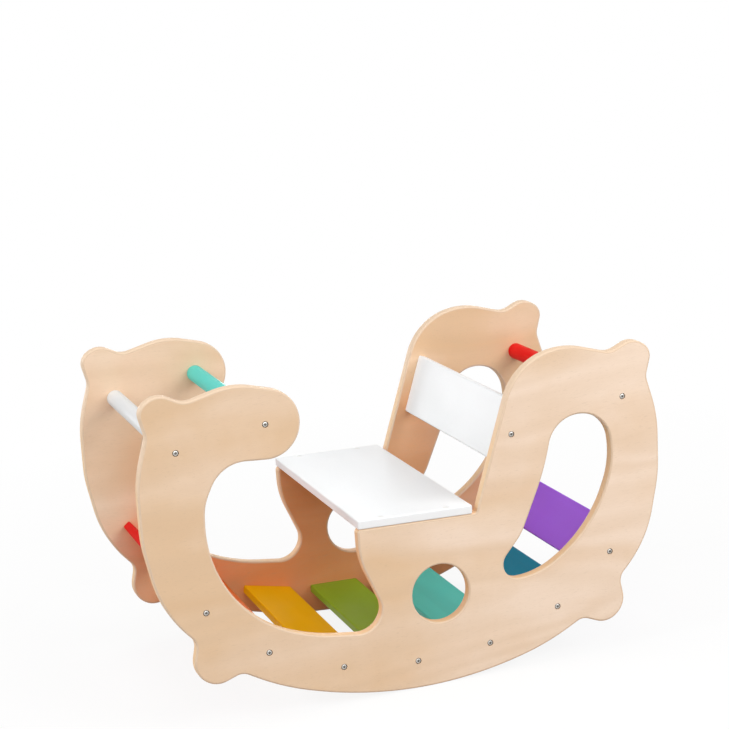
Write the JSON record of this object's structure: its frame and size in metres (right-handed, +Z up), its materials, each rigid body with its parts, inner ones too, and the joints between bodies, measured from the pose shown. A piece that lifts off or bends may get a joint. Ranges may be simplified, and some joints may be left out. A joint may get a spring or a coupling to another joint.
{
  "type": "kids rocking chair",
  "caption": "Wooden rocking chair for a small child: two curved sides with round ears, coloured slats and rods, a seat and a backrest. It also turns over as a climbing arch.",
  "frame": {"origin": "on the floor, midway between the chair's front and back ends and between its sides", "axes": "+Z up, +X from the front arms to the backrest, +Y from the left side panel to the right one. The chair leans back at its own rest tilt."},
  "size_m": [0.7958, 0.426, 0.4939],
  "materials": {
    "plywood": "clear lacquered birch plywood, satin",
    "red_paint": "satin red paint on wood",
    "orange_paint": "satin orange paint on wood",
    "yellow_paint": "satin yellow paint on wood",
    "green_paint": "satin green paint on wood",
    "teal_paint": "satin teal paint on wood",
    "blue_paint": "satin petrol blue paint on wood",
    "purple_paint": "satin purple paint on wood",
    "white_paint": "satin white paint on wood",
    "screw_steel": "polished zinc-plated steel",
    "white_plastic": "matt white plastic"
  },
  "bodies": {
    "root": {"side_panel_left": "plywood", "side_panel_right": "plywood", "seat_board": "white_paint", "backrest_board": "white_paint", "red_slat": "red_paint", "orange_slat": "orange_paint", "yellow_slat": "yellow_paint", "green_slat": "green_paint", "teal_slat": "teal_paint", "blue_slat": "blue_paint", "purple_slat": "purple_paint", "teal_rod": "teal_paint", "white_rod": "white_paint", "red_rod": "red_paint", "red_slat_screw_left": "screw_steel", "red_slat_screw_right": "screw_steel", "orange_slat_screw_left": "screw_steel", "orange_slat_screw_right": "screw_steel", "yellow_slat_screw_left": "screw_steel", "yellow_slat_screw_right": "screw_steel", "green_slat_screw_left": "screw_steel", "green_slat_screw_right": "screw_steel", "teal_slat_screw_left": "screw_steel", "teal_slat_screw_right": "screw_steel", "blue_slat_screw_left": "screw_steel", "blue_slat_screw_right": "screw_steel", "purple_slat_screw_left": "screw_steel", "purple_slat_screw_right": "screw_steel", "teal_rod_screw_left": "screw_steel", "teal_rod_screw_right": "screw_steel", "white_rod_screw_left": "screw_steel", "white_rod_screw_right": "screw_steel", "red_rod_screw_left": "screw_steel", "red_rod_screw_right": "screw_steel", "backrest_board_screw_left": "screw_steel", "backrest_board_screw_right": "screw_steel", "seat_screw_front_left": "screw_steel", "seat_cap_front_left": "white_plastic", "seat_screw_front_right": "screw_steel", "seat_cap_front_right": "white_plastic", "seat_screw_back_left": "screw_steel", "seat_cap_back_left": "white_plastic", "seat_screw_back_right": "screw_steel", "seat_cap_back_right": "white_plastic"}
  },
  "joints": []
}
